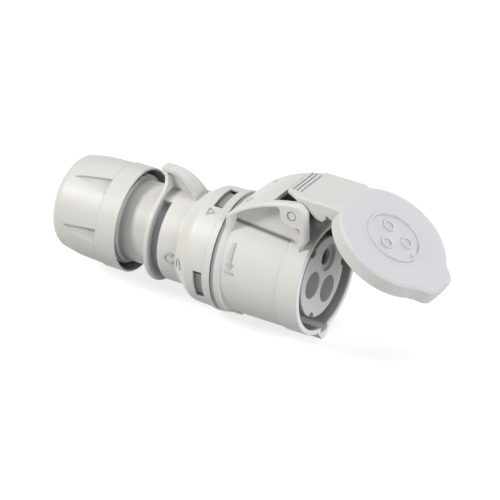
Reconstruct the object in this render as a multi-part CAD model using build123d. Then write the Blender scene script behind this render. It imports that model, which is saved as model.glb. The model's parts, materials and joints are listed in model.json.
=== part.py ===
from build123d import *
from math import atan2, cos, degrees, radians, sin, sqrt, tan
import os

# A twist-lock cable coupler: a three-pole socket with a hinged lid, whose two housing halves
# lock with a bayonet, and a gland nut that grips the cable.
# Millimetres. +X runs out of the mouth along the coupler's axis, +Z points up through the lid's
# hinge, and the origin is the centre of the contact insert's face. Stations along the axis are
# distances behind that face. Clock angles start at +Z and turn towards -Y.

# Fits
RUN = 0.3              # between parts that turn on each other
SEAT = 0.05            # between parts that stay seated
PIN_RUN = 0.1          # lid on its hinge pin

# Contact insert
INSERT_R = 18.8
INSERT_LENGTH = 37.1
INSERT_FLANGE = 2.5
CONTACT_CIRCLE = 9.1
EARTH_CLOCK = -30.0
PHASE_STEP = 120.0
HOLE_R = 6.3           # the wide hole ahead of each contact
PHASE_HOLE_DEPTH = 8.0
EARTH_HOLE_DEPTH = 1.5
NOTCH_R = 2.4
NOTCH_DEPTH = 5.0

# Contacts
PHASE_PIN_R = 2.5
EARTH_PIN_R = 3.5
PIN_PLAY = 0.05
CONTACT_LIP = 1.5      # the insert's lip ahead of each contact
LIP_PLAY = 0.3
SLEEVE_SETBACK = 0.2   # from the lip to the sleeve
SLEEVE_WALL = 1.35
SLEEVE_BORE_DEPTH = 28.0
SPRING_ROOM = 0.75     # room around a sleeve for its clamp ring
SPRING_ROOM_LENGTH = 9.0
CLAMP_RING_WIDTH = 3.0
CLAMP_RING_WALL = 0.55
SHOULDER_STEP = 1.6
SHOULDER_LENGTH = 2.0
COVER_THICKNESS = 2.5
TAIL_LENGTH = 18.0
WIRE_R = 2.2
WIRE_DEPTH = 9.0
TERMINAL_SCREW_R = 1.7
TERMINAL_HEAD_R = 2.1
TERMINAL_SCREW_BACK = 4.5
TERMINAL_HEAD = 1.4

# Cover screws
COVER_SCREW_R = 1.4
COVER_SCREW_HEAD_R = 2.6
COVER_SCREW_HEAD = 1.7
COVER_SCREW_BITE = 6.0
COVER_SCREW_CIRCLE = 15.2
COVER_SCREW_CLOCKS = (30.0, 270.0)

# Socket shell
LIP = 2.0              # the mouth's rim stands this far ahead of the insert's face
SHELL_R = 26.2
SHELL_WALL = 1.9
SHELL_LENGTH = 41.8
BAND_LENGTH = 10.5
BAND_STEP = 0.5
REAR_RIM_LENGTH = 3.2
REAR_RIM_STEP = 1.7
REAR_RIM_SLOPE = 0.9
RIM_EASE = 0.3         # rounding of the mouth's inner edge
LEDGE = 1.5            # the inner ledge that the insert's flange seats on
SPIGOT_STEP = 1.8      # the spigot is this much smaller than the shell
SPIGOT_WALL = 2.2
SPIGOT_LENGTH = 10.8
PAD_SHIFT = 1.1        # the mouth's lower side thickens by this much
PAD_LENGTH = 13.0
PAD_CLOCK = 152.0
RIB_STEP = 0.8
RIB_CLOCK = 146.0

# Keyway at the bottom of the mouth
KEY_HALF = 3.0
KEY_DROP = 2.6         # depth of the groove below the mouth's bore
KEY_WALL = 3.4
KEY_LENGTH = 36.0
KEEL = ((2.6, 1.4), (4.0, 3.0), (5.6, 5.6))   # the keel's half width at heights above its foot
KEEL_LENGTH = 13.0
KEEL_RAMP = 7.0

# Bayonet between the two housings
LUG_HEIGHT = 1.55
LUG_LENGTH = 4.0
LUG_WIDTH = 26.0
LUG_BACK = 5.1         # from the shell's rear rim to the lugs
LUG_CLOCKS = (6.5, 107.0, 236.5)
TWIST = 30.0
WINDOW_WIDTH = 33.0

# Housing seal
SEAL_SECTION = 1.4
SEAL_BACK = 1.6

# Hinge bracket
BRACKET_HALF = 18.0
BRACKET_REAR_RISE = 1.0
BRACKET_REAR = 1.4     # the bracket starts this far ahead of the shell's rear rim
BRACKET_FRONT_RISE = ((-0.6, 11.8), (0.3, -1.2), (-2.6, -6.7))   # heights over the shell's radius
BRACKET_MID_RISE = (-24.4, 11.2)
HINGE_X = -7.5
HINGE_RISE = 10.0      # the hinge's height over the shell's radius
KNUCKLE_R = 5.8
ROOF = 2.2
POST = 2.4
FRONT_STRIP = 3.0
PANEL = ((1.4, 12.3), (33.0, 14.3), (39.1, 15.3))   # the cheeks' panels from above, from the rear rim
PANEL_WALL = 1.5
ARM_ROOM = 0.4         # beside the arm
EAR_ROOM = 0.3         # round the arm's ears
WINDOW_LEDGE = 1.5     # the roof's window is cut this deep at its full width
SLOT_AHEAD = 2.5       # the room is as wide as the arm from here, ahead of the pin
CHEEK_BORDER = 1.9
WINDOW_BACK = 11.1       # rear edge of the roof's window, behind the pin
BOSS_R = 5.8
RECESS_EASE = 1.6
BRACKET_EASE = 1.3

# Hinge pin and spring
PIN_R = 2.35
PIN_SHORT = 0.4        # the pin ends this far inside the cheeks
PIN_CHAMFER = 0.6
SPRING_WIRE = 0.55
SPRING_COIL_R = 3.3
SPRING_TURNS = 6
SPRING_PITCH = 1.5
SPRING_LOW_LEG = 7.5
SPRING_TOP_LEG = 4.5

# Lid, drawn open as photographed
LID_CLOSED = (10.8, -2.15)   # the middle of its face when it is closed
LID_OPEN = 57.3        # degrees from closed to the photographed place
LID_OVERLAP = 3.3      # how far the cup reaches past the mouth
LID_PLATE = 1.9
LID_DEPTH = 7.4
LID_WALL = 1.9
LID_EDGE = 1.4
GASKET_WIDTH = 2.7
SEAT_RING_WALL = 1.2
SEAT_RING_DEPTH = 5.0
GASKET_PROUD = 1.0
GASKET_PLAY = 0.2
TAB_REACH = 3.9
TAB_HALF = 12.0
TAB_CORNER = 7.5
TAB_BLEND = 12.0
PEG_R = 0.95
PEG_LENGTH = 1.0
PEG_ANGLE = 26.0
ARM_HALF = 13.8
ARM_WALL = 2.2
ARM_TOP_RISE = 8.4       # the arm's top over the hinge
HEEL_X = -14.6           # rear end of the arm's narrow heel
HEEL_HALF = 9.4
HEEL_FRONT = -7.3        # the arm has its full width from here
ARM_PLATE = 2.2
EAR_R = 4.8
ARM_LOBE = ((15.0, 1.2), (13.2, -0.5), (10.0, 0.1), (7.1, 2.3))   # the walls' lower edge, from the hinge
ARM_EASE = 1.2
PLATE_EASE = 0.6
GRIP_HALF = 9.0
GRIP_RIDGES = 3
GRIP_PITCH = 1.9
GRIP_HEIGHT = 0.65

# Rear housing
HOUSING_GAP = 0.6
COLLAR_LIP = 2.8
COLLAR_STEP = 0.5
COLLAR_LENGTH = 13.7
SHOULDER_RUN = 7.0
BODY_R = 21.9
BODY_WALL = 2.5
BODY_END = 74.1
FLANGE_FRONT = 77.8
FLANGE_THICKNESS = 1.6
FLANGE_R = 23.7
HOOK_BASE_WIDTH = 52.0   # degrees that the hook's base fills between body and flange
NECK_R = 18.8
NECK_WALL = 3.2
THREAD_R = 20.2
THREAD_FRONT = 95.6
NECK_END = 110.6

# Thumb hook on top of the rear housing
HOOK_WEB_HALF = 0.9
HOOK_TIP = (-83.3, 31.4)
HOOK_TOP = ((-76.9, 31.4), (-72.1, 30.2), (-67.2, 27.0), (-64.1, 23.1))
HOOK_FOOT = (-63.2, 20.6)
HOOK_HALVES = ((-84.5, 2.9), (-76.9, 3.0), (-72.1, 3.25), (-67.2, 3.85), (-64.1, 4.9), (-61.0, 6.6))
HOOK_THICKNESS = 1.8

# Gland nut
NUT_FRONT = 94.2
NUT_END = 130.2
NUT_R = 24.4
NUT_SKIRT = 1.0
NUT_BAND = 9.6
NUT_BAND_STEP = 0.4
NUT_THREAD_FRONT = 102.6
NUT_THREAD_END = 112.1
NUT_HOLE_R = 11.0
FLUTES = 6
FLUTE_CLOCK = 30.0
FLUTE_LENGTH = 18.5
FLUTE_HALF = 2.5
FLUTE_STEP = 2.7
FLUTE_TIP = -0.6
FLUTE_BULGES = (0.3, 0.7, 1.1)   # how far its three edges curve out
FLUTE_FLOOR_R = 21.9
FLUTE_STEP_R = 23.1

# Cable clamp and seal
CAGE_WALL = 1.8
CAGE_SLEEVE = 8.0
CAGE_FLANGE = 1.3
CAGE_FLANGE_R = 19.2
FINGER_LENGTH = 12.0
FINGER_TIP_R = 12.6
FINGERS = 8
FINGER_SLOT = 2.0
CABLE_R = 8.5
CAGE_LEDGE = 1.5

# Worked out from the above
MOUTH_R = SHELL_R - SHELL_WALL
SPIGOT_R = SHELL_R - SPIGOT_STEP
BAND_R = SHELL_R + BAND_STEP
REAR_RIM_R = SHELL_R + REAR_RIM_STEP
COLLAR_LIP_R = REAR_RIM_R
COLLAR_R = COLLAR_LIP_R - COLLAR_STEP
HINGE_Z = SHELL_R + HINGE_RISE
ARM_TOP_Z = HINGE_Z + ARM_TOP_RISE
BRACKET_REAR_Z = SHELL_R + BRACKET_REAR_RISE
BRACKET_MID = (BRACKET_MID_RISE[0], SHELL_R + BRACKET_MID_RISE[1])
BRACKET_FRONT = [(x, SHELL_R + rise) for x, rise in BRACKET_FRONT_RISE]
LID_R = MOUTH_R + LID_OVERLAP
SEAT_RING_R = LID_R - LID_WALL - GASKET_WIDTH - 2 * GASKET_PLAY
LID_TILT = 90.0 - LID_OPEN
SPIGOT_BORE_R = SPIGOT_R - SPIGOT_WALL
SPIGOT_END = SHELL_LENGTH + SPIGOT_LENGTH
COVER_FRONT = INSERT_LENGTH + INSERT_FLANGE
COVER_BACK = COVER_FRONT + COVER_THICKNESS
LUG_R = SPIGOT_R + LUG_HEIGHT
LUG_FRONT = SHELL_LENGTH + LUG_BACK
COLLAR_FRONT = SHELL_LENGTH + HOUSING_GAP
COLLAR_BORE_R = SPIGOT_R + RUN + SEAT
CHANNEL_R = LUG_R + RUN
CHANNEL_FRONT = LUG_FRONT - RUN
CHANNEL_BACK = LUG_FRONT + LUG_LENGTH + RUN
COLLAR_BORE_END = SPIGOT_END + 2.0
SHOULDER_FRONT = COLLAR_FRONT + COLLAR_LENGTH
BODY_FRONT = SHOULDER_FRONT + SHOULDER_RUN
BODY_BORE_R = BODY_R - BODY_WALL
NECK_BORE_R = NECK_R - NECK_WALL
FLANGE_BACK = FLANGE_FRONT + FLANGE_THICKNESS
HINGE_TOP_Z = HINGE_Z + KNUCKLE_R
ARM_SLOT_HALF = ARM_HALF + ARM_ROOM
PHASE_SLEEVE_R = PHASE_PIN_R + PIN_PLAY + SLEEVE_WALL
EARTH_SLEEVE_R = EARTH_PIN_R + PIN_PLAY + SLEEVE_WALL
KEY_FLOOR = MOUTH_R + KEY_DROP
KEY_BOTTOM = KEY_FLOOR + KEY_WALL
BRACKET_START = -SHELL_LENGTH + BRACKET_REAR
HOOK_TIP_HALF = HOOK_HALVES[0][1]

# name, clock angle, pin radius, sleeve radius, depth of the wide hole
CONTACTS = (
    ("contact_earth", EARTH_CLOCK, EARTH_PIN_R, EARTH_SLEEVE_R, EARTH_HOLE_DEPTH),
    ("contact_line", EARTH_CLOCK + PHASE_STEP, PHASE_PIN_R, PHASE_SLEEVE_R, PHASE_HOLE_DEPTH),
    ("contact_neutral", EARTH_CLOCK - PHASE_STEP, PHASE_PIN_R, PHASE_SLEEVE_R, PHASE_HOLE_DEPTH),
)


def turned(*corners):
    """A solid turned about the coupler's axis, from (x, radius[, rounding]) corners."""
    points = [corner[:2] for corner in corners]
    rounding = [corner[2] if len(corner) > 2 else 0 for corner in corners]
    outline = FilletPolyline(*points, radius=rounding, close=True)
    return revolve(make_face(outline), Axis.X)


def sector(x_front, x_back, inner, outer, clock, width):
    """A piece of a ring between two radii, centred on a clock angle."""
    section = make_face(Polyline((x_front, inner), (x_front, outer), (x_back, outer), (x_back, inner), close=True))
    return Rot(X=90 + clock - width / 2) * revolve(section, Axis.X, revolution_arc=width)


def rod(x_front, x_back, radius):
    """A round bar on the coupler's axis."""
    return Pos(X=(x_front + x_back) / 2) * Rot(Y=90) * Cylinder(radius, x_front - x_back)


def at_clock(shape, clock, distance=0.0):
    """Move a shape out from the axis to a clock angle."""
    return Pos(Y=-distance * sin(radians(clock)), Z=distance * cos(radians(clock))) * shape


def cross_bar(x, z, radius, half):
    """A round bar along Y."""
    return Pos(x, 0, z) * Rot(X=90) * Cylinder(radius, 2 * half)


def side_prism(face_points, half, rounding=0):
    """A prism along Y, from corners (x, z)."""
    outline = FilletPolyline(*face_points, radius=rounding, close=True)
    face = Plane.XZ * make_face(outline)
    return extrude(face, amount=half, both=True)


def plan_prism(points, z_low, z_high):
    """A prism along Z, from corners (x, y)."""
    return Pos(Z=z_low) * extrude(make_face(Polyline(*points, close=True)), amount=z_high - z_low)


# Contact insert

def insert_holes():
    cuts = Part()
    for _, clock, pin_r, sleeve_r, depth in CONTACTS:
        seat = -depth - CONTACT_LIP
        cut = rod(1, -depth, HOLE_R)
        cut += rod(-depth + 0.5, seat - 0.5, pin_r + LIP_PLAY)
        cut += rod(seat, -COVER_FRONT - 1, sleeve_r + SEAT)
        cut += rod(seat, seat - SPRING_ROOM_LENGTH, sleeve_r + SPRING_ROOM)
        cut += rod(-COVER_FRONT + SHOULDER_LENGTH, -COVER_FRONT - 1, sleeve_r + SHOULDER_STEP + SEAT)
        cuts += at_clock(cut, clock, CONTACT_CIRCLE)
    for _, clock, _, _, _ in CONTACTS:
        cuts += at_clock(rod(1, -NOTCH_DEPTH, NOTCH_R), clock + PHASE_STEP / 2, INSERT_R)
    for clock in COVER_SCREW_CLOCKS:
        cuts += at_clock(rod(-COVER_FRONT + COVER_SCREW_BITE + 1, -COVER_FRONT - 1, COVER_SCREW_R + SEAT),
                         clock, COVER_SCREW_CIRCLE)
    return cuts


def make_contact_insert():
    body = turned((0, 0), (0, INSERT_R, 0.6), (-INSERT_LENGTH, INSERT_R),
                  (-INSERT_LENGTH, SPIGOT_BORE_R - SEAT), (-COVER_FRONT, SPIGOT_BORE_R - SEAT),
                  (-COVER_FRONT, 0))
    return body - insert_holes()


def make_insert_cover():
    cover = rod(-COVER_FRONT, -COVER_BACK, SPIGOT_BORE_R - SEAT)
    for _, clock, _, sleeve_r, _ in CONTACTS:
        cover -= at_clock(rod(0, -COVER_BACK - 1, sleeve_r + SEAT), clock, CONTACT_CIRCLE)
    for clock in COVER_SCREW_CLOCKS:
        cover -= at_clock(rod(0, -COVER_BACK - 1, COVER_SCREW_R + SEAT), clock, COVER_SCREW_CIRCLE)
    return cover


def make_cover_screws():
    screws = []
    for clock in COVER_SCREW_CLOCKS:
        shank = rod(-COVER_FRONT + COVER_SCREW_BITE, -COVER_BACK, COVER_SCREW_R)
        head = rod(-COVER_BACK, -COVER_BACK - COVER_SCREW_HEAD, COVER_SCREW_HEAD_R)
        slot = Pos(X=-COVER_BACK - COVER_SCREW_HEAD) * Box(1.4, 2 * COVER_SCREW_HEAD_R + 1, 0.8)
        screws.append(at_clock(shank + head - slot, clock, COVER_SCREW_CIRCLE))
    return Compound(screws)


# Contacts

def screw_station():
    return -COVER_BACK - TAIL_LENGTH + TERMINAL_SCREW_BACK


def make_contact(clock, pin_r, sleeve_r, depth):
    front = -depth - CONTACT_LIP - SLEEVE_SETBACK
    back = -COVER_BACK - TAIL_LENGTH
    contact = turned((front, 0), (front, sleeve_r, 0.4), (back, sleeve_r, 0.4), (back, 0))
    contact += rod(-COVER_FRONT + SHOULDER_LENGTH - SEAT, -COVER_FRONT, sleeve_r + SHOULDER_STEP)
    contact -= rod(front + 1, front - SLEEVE_BORE_DEPTH, pin_r + PIN_PLAY)
    contact -= rod(back + WIRE_DEPTH, back - 1, min(WIRE_R, sleeve_r - 1.2))
    thread = Pos(X=screw_station(), Z=sleeve_r / 2 + 1) * Cylinder(TERMINAL_SCREW_R + SEAT, sleeve_r + 2)
    contact -= Rot(X=clock) * thread
    return at_clock(contact, clock, CONTACT_CIRCLE)


def make_terminal_screws():
    screws = []
    for _, clock, _, sleeve_r, _ in CONTACTS:
        shank = Pos(X=screw_station(), Z=sleeve_r * 0.75 + 0.3) * Cylinder(TERMINAL_SCREW_R, sleeve_r * 0.5 + 0.6)
        head = Pos(X=screw_station(), Z=sleeve_r + 0.6 + TERMINAL_HEAD / 2) * Cylinder(TERMINAL_HEAD_R, TERMINAL_HEAD)
        slot = Pos(X=screw_station(), Z=sleeve_r + 0.6 + TERMINAL_HEAD) * Box(2 * TERMINAL_HEAD_R + 1, 0.7, 1.2)
        screws.append(at_clock(Rot(X=clock) * (shank + head - slot), clock, CONTACT_CIRCLE))
    return Compound(screws)


def make_clamp_rings():
    rings = []
    for _, clock, _, sleeve_r, depth in CONTACTS:
        front = -depth - CONTACT_LIP - 2.0
        ring = rod(front, front - CLAMP_RING_WIDTH, sleeve_r + SEAT + CLAMP_RING_WALL)
        ring -= rod(front + 1, front - CLAMP_RING_WIDTH - 1, sleeve_r + SEAT)
        ring -= Pos(X=front, Z=-sleeve_r) * Box(4 * CLAMP_RING_WIDTH, 1.2, sleeve_r)
        rings.append(at_clock(Rot(X=clock) * ring, clock, CONTACT_CIRCLE))
    return Compound(rings)


# Socket shell

def shell_outside():
    """The shell's outside from the mouth's rim to its rear rim, and the spigot behind it, without the bore."""
    return turned((LIP, 0), (LIP, BAND_R, 0.9), (LIP - BAND_LENGTH, BAND_R),
                  (LIP - BAND_LENGTH - 0.6, SHELL_R), (-SHELL_LENGTH + REAR_RIM_LENGTH + REAR_RIM_SLOPE, SHELL_R, 0.6),
                  (-SHELL_LENGTH + REAR_RIM_LENGTH, REAR_RIM_R - 0.7, 0.3), (-SHELL_LENGTH, REAR_RIM_R, 0.3),
                  (-SHELL_LENGTH, SPIGOT_R), (-SPIGOT_END, SPIGOT_R, 0.5), (-SPIGOT_END, 0))


def shell_bore():
    """The mouth, the ledge that the insert seats on, and the spigot's bore."""
    seat = -INSERT_LENGTH
    return turned((LIP + 1, 0), (LIP + 1, MOUTH_R + 1 + RIM_EASE), (LIP - RIM_EASE, MOUTH_R),
                  (seat + LEDGE, MOUTH_R, 0.8), (seat + LEDGE, INSERT_R + SEAT), (seat, INSERT_R + SEAT),
                  (seat, SPIGOT_BORE_R), (-SPIGOT_END - 1, SPIGOT_BORE_R), (-SPIGOT_END - 1, 0))


def keel():
    """The raised keyway under the mouth, running out to the rear in a ramp."""
    right = [(half, -KEY_BOTTOM + up) for half, up in KEEL]
    inner = (KEEL[-1][0], -MOUTH_R + 2)
    outline = FilletPolyline((-KEEL[0][0] + 0.8, -KEY_BOTTOM), (KEEL[0][0] - 0.8, -KEY_BOTTOM), *right, inner,
                             (-inner[0], inner[1]), *[(-y, z) for y, z in reversed(right)],
                             radius=[0.8, 0.8, 1.0, 2.0, 0, 0, 0, 0, 2.0, 1.0], close=True)
    length = KEEL_LENGTH + KEEL_RAMP
    bar = Pos(X=LIP - length) * extrude(Plane.YZ * make_face(outline), amount=length)
    ramp = side_prism([(LIP - length - 1, -KEY_BOTTOM - 1), (LIP - KEEL_LENGTH, -KEY_BOTTOM - 1),
                       (LIP - KEEL_LENGTH, -KEY_BOTTOM), (LIP - length - 1, -SHELL_R + 0.6)], KEEL[-1][0] + 2)
    return bar - ramp


def key_groove():
    """The groove for the plug's key, from the rim to the floor of the mouth."""
    depth = KEY_FLOOR - MOUTH_R + 3.0
    groove = RectangleRounded(2 * KEY_HALF, 2 * depth, 1.0)
    groove = extrude(Plane.YZ * groove, amount=KEY_LENGTH + 1)
    return Pos(X=LIP - KEY_LENGTH, Z=-KEY_FLOOR + depth) * groove


def roof_edge():
    """The bracket's sloping roof line, from the rear rim to the top of the hinge."""
    return ThreePointArc((BRACKET_START, BRACKET_REAR_Z), BRACKET_MID, (HINGE_X, HINGE_TOP_Z))


def roof_prism(drop, x_front, half):
    """Everything under the roof line, lowered by drop, as far forward as x_front."""
    arc = Pos(0, -drop) * roof_edge()
    start, end = arc @ 0, arc @ 1
    low = Polyline((end.X, end.Y), (end.X, 0), (start.X, 0), (start.X, start.Y))
    slab = extrude(Plane.XZ * make_face(Curve() + [arc, low]), amount=half, both=True)
    limit = side_prism([(-SHELL_LENGTH - 1, 0), (x_front, 0), (x_front, HINGE_TOP_Z + 9),
                        (-SHELL_LENGTH - 1, HINGE_TOP_Z + 9)], half)
    return slab & limit


def bracket_block():
    """The bracket's outside: roof, sides and the rounded front corner round the hinge."""
    top, low, foot = BRACKET_FRONT
    corner_x = top[0] - (HINGE_TOP_Z - top[1]) * (low[0] - top[0]) / (top[1] - low[1])
    nose = side_prism([(HINGE_X, 0), (HINGE_X, HINGE_TOP_Z), (corner_x, HINGE_TOP_Z), low, foot, (foot[0], 0)],
                      BRACKET_HALF, [0, 0, KNUCKLE_R - 1.0, 2.0, 0, 0])
    block = roof_prism(0, HINGE_X + 0.5, BRACKET_HALF) + nose
    cheeks = [e for e in block.edges() if abs(abs(e.center().Y) - BRACKET_HALF) < 0.01 and e.center().Z > SHELL_R]
    block = fillet([e for e in cheeks if e.center().X > BRACKET_START + 1], BRACKET_EASE)
    return block - rod(LIP + 2, -SHELL_LENGTH - 1, MOUTH_R + 0.6)


def recess_outline():
    """The sunk panel's outline from the side: under the roof line, round the boss and beside the front strip."""
    rear, front = BRACKET_START + POST, BRACKET_FRONT[1][0] - FRONT_STRIP
    boss = HINGE_X - BOSS_R
    arc = Pos(0, -CHEEK_BORDER) * roof_edge()
    start, end = arc @ 0, arc @ 1
    low = Polyline((end.X, end.Y), (end.X, 0), (start.X, 0), (start.X, start.Y))
    span = Pos((rear + boss) / 2, HINGE_Z) * Rectangle(boss - rear, 2 * HINGE_Z)
    outline = make_face(Curve() + [arc, low]) & span
    outline += Pos((boss + front) / 2 - 0.5, HINGE_Z / 2) * Rectangle(front - boss + 1, HINGE_Z)
    outline -= Pos(HINGE_X, HINGE_Z) * Circle(BOSS_R)
    corners = [v for v in outline.vertices() if v.Y > SHELL_R + 1 and not (abs(v.X - boss) < 0.1 and v.Y < HINGE_Z + 1)]
    return fillet(corners, RECESS_EASE)


def panel_plan(wall):
    """The cheek's panel from above, as corners (x, y) from the rear to the front, moved inwards by wall."""
    return [(-SHELL_LENGTH + ahead, y - wall) for ahead, y in PANEL]


def side_recess(side):
    """The sunk panel in a cheek."""
    far = BRACKET_HALF + 1
    rear, middle, front = panel_plan(0)
    plan = plan_prism([(rear[0], side * far), *[(x, side * y) for x, y in (rear, middle, front)],
                       (LIP, side * front[1]), (LIP, side * far)], 0, HINGE_TOP_Z)
    return plan & extrude(Plane.XZ * recess_outline(), amount=far, both=True)


def bracket_cavity():
    """The room for the lid's arm between the cheeks, open to the front and to the window above."""
    rear = BRACKET_START + POST - 0.6
    slot = HINGE_X + SLOT_AHEAD
    panel = panel_plan(PANEL_WALL)
    half_plan = [(rear, panel[0][1]), panel[1], (slot, panel[1][1]), (slot, ARM_SLOT_HALF), (LIP + 3, ARM_SLOT_HALF)]
    plan = plan_prism(half_plan + [(x, -y) for x, y in reversed(half_plan)], 0, HINGE_TOP_Z + 5)
    room = roof_prism(ROOF, HINGE_X, BRACKET_HALF)
    window = HINGE_X - WINDOW_BACK
    front = side_prism([(window, 0), (window, HINGE_TOP_Z + 5), (LIP + 3, HINGE_TOP_Z + 5), (LIP + 3, 0)],
                       BRACKET_HALF)
    ear_r = EAR_R + EAR_ROOM
    ear_room = cross_bar(HINGE_X, HINGE_Z, ear_r, ARM_SLOT_HALF)
    ear_room += Pos((slot + HINGE_X - ear_r) / 2, 0, HINGE_Z + KNUCKLE_R) * Box(slot - HINGE_X + ear_r,
                                                                              2 * ARM_SLOT_HALF, 2 * KNUCKLE_R)
    opening = Pos((window + HINGE_X) / 2, 0, HINGE_Z) * Box(HINGE_X - window, 2 * ARM_SLOT_HALF, 3 * KNUCKLE_R)
    opening -= roof_prism(WINDOW_LEDGE, HINGE_X + 1, BRACKET_HALF)
    return (plan & (room + front)) + ear_room + opening


def make_socket_shell():
    bracket = bracket_block()
    for side in (-1, 1):
        bracket -= side_recess(side)
    bracket -= bracket_cavity()
    shell = shell_outside() + bracket
    pad = turned((LIP, 0), (LIP, BAND_R, 0.9), (LIP - PAD_LENGTH, BAND_R, 2.0), (LIP - PAD_LENGTH, 0))
    shell += at_clock(pad, PAD_CLOCK, PAD_SHIFT)
    shell += sector(-SHELL_LENGTH + REAR_RIM_LENGTH, -SHELL_LENGTH + 9.5, SHELL_R - 1, SHELL_R + RIB_STEP,
                    RIB_CLOCK, 7)
    shell += keel()
    shell -= shell_bore()
    shell -= key_groove()
    shell -= cross_bar(HINGE_X, HINGE_Z, PIN_R + SEAT, BRACKET_HALF + 2)
    seal_front = -SHELL_LENGTH - SEAL_BACK
    shell -= (rod(seal_front, seal_front - SEAL_SECTION - 0.2, SPIGOT_R + 1)
              - rod(seal_front + 1, seal_front - SEAL_SECTION - 1, SPIGOT_R - SEAL_SECTION))
    for clock in LUG_CLOCKS:
        shell += sector(-LUG_FRONT, -LUG_FRONT - LUG_LENGTH, SPIGOT_R - 0.5, LUG_R, clock, LUG_WIDTH)
    return shell


def make_housing_seal():
    front = -SHELL_LENGTH - SEAL_BACK - 0.1
    inner = SPIGOT_R - SEAL_SECTION + SEAT
    return turned((front, inner, 0.3), (front, SPIGOT_R, 0.3),
                  (front - SEAL_SECTION, SPIGOT_R, 0.3), (front - SEAL_SECTION, inner, 0.3))


# Lid, pin and spring

def lid_centre():
    """The middle of the open lid's face, as (x, z): its closed place turned about the hinge."""
    turn = radians(LID_OPEN)
    x, z = LID_CLOSED[0] - HINGE_X, LID_CLOSED[1] - HINGE_Z
    return (HINGE_X + x * cos(turn) - z * sin(turn), HINGE_Z + x * sin(turn) + z * cos(turn))


def lid_plane():
    """The lid's outer face: local X away from the hinge, local Z out of the face."""
    tilt = radians(LID_TILT)
    middle = lid_centre()
    return Plane(origin=(middle[0], 0, middle[1]), x_dir=(cos(tilt), 0, -sin(tilt)),
                 z_dir=(sin(tilt), 0, cos(tilt)))


def lid_outline():
    """The lid's round outline with the finger tab drawn out of its far side."""
    tab = Pos(X=(LID_R + TAB_REACH) / 2) * RectangleRounded(LID_R + TAB_REACH, 2 * TAB_HALF, TAB_CORNER)
    face = Circle(LID_R) + tab
    inner_corners = [v for v in face.vertices() if abs(Vector(v.X, v.Y).length - LID_R) < 0.01 and v.X > 0]
    return fillet(inner_corners, TAB_BLEND)


def lid_cup():
    body = extrude(lid_outline(), amount=-LID_DEPTH)
    body = fillet(body.edges().group_by(Axis.Z)[-1], LID_EDGE)
    depth = LID_DEPTH - LID_PLATE
    hollow = Pos(Z=-LID_PLATE - depth / 2 - 0.5) * Cylinder(LID_R - LID_WALL, depth + 1)
    ring = Pos(Z=-LID_PLATE - SEAT_RING_DEPTH / 2 + 0.25)
    ring *= Cylinder(SEAT_RING_R, SEAT_RING_DEPTH + 0.5) - Cylinder(SEAT_RING_R - SEAT_RING_WALL,
                                                                    SEAT_RING_DEPTH + 2)
    body = body - hollow + ring
    peg_circle = LID_R - LID_WALL / 2
    for angle in (-PEG_ANGLE, PEG_ANGLE):
        place = Pos(peg_circle * cos(radians(angle)), peg_circle * sin(radians(angle)))
        body += place * Pos(Z=-LID_DEPTH - PEG_LENGTH / 2 + 0.5) * Cylinder(PEG_R, PEG_LENGTH + 1)
    return lid_plane() * body


def lid_point(x, z):
    """A point of the lid's plane frame as (x, z) of the coupler."""
    tilt = radians(LID_TILT)
    middle = lid_centre()
    return (middle[0] + x * cos(tilt) + z * sin(tilt), middle[1] - x * sin(tilt) + z * cos(tilt))


def crease():
    """Where the arm's level top meets the plane of the lid's face, as (x, z)."""
    middle = lid_centre()
    return (middle[0] - (ARM_TOP_Z - middle[1]) / tan(radians(LID_TILT)), ARM_TOP_Z)


def arm_plan(inset):
    """The arm's plan from above: a narrow heel that widens towards the front."""
    half, heel_half = ARM_HALF - inset, HEEL_HALF - inset
    rear, front = HEEL_X + inset, lid_point(-LID_R + 9.0, 0)[0]
    return plan_prism([(rear, -heel_half), (HEEL_FRONT, -half), (front, -half), (front, half),
                       (HEEL_FRONT, half), (rear, heel_half)], 10, ARM_TOP_Z + 5)


def arm_side():
    """The arm's outline from the side, from the pin to the cup, without its heel."""
    low = lid_point(-LID_R + 3.0, -LID_DEPTH)
    skirt_low = lid_point(-LID_R + 0.2, -LID_DEPTH)
    front = lid_point(-LID_R + 9.0, 0)
    front_low = lid_point(-LID_R + 9.0, -LID_PLATE)
    lobe = [(HINGE_X + x, HINGE_Z + z) for x, z in ARM_LOBE]
    return side_prism([(HEEL_FRONT, ARM_TOP_Z), crease(), front, front_low, low, skirt_low, *lobe,
                       (HINGE_X + 3, HINGE_Z + 2), (HEEL_FRONT, HINGE_Z + 2)], ARM_HALF + 1,
                      [0, 9.0, 0, 0, 0, 0, 0.6, 1.4, 1.4, 0.8, 0, 0])


def arm_plate():
    """The arm's top plate, which runs back over the pin as a narrow heel."""
    lower = ARM_TOP_Z - ARM_PLATE
    end, end_low = lid_point(-LID_R + 9.0, 0), lid_point(-LID_R + 9.0, -ARM_PLATE)
    return side_prism([(HEEL_X, lower), (HEEL_X, ARM_TOP_Z), crease(), end, end_low, (crease()[0] - 1, lower)],
                      ARM_HALF + 1, [PLATE_EASE, 0, 9.0, 0, 0, 9.0 - ARM_PLATE / 2])


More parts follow.
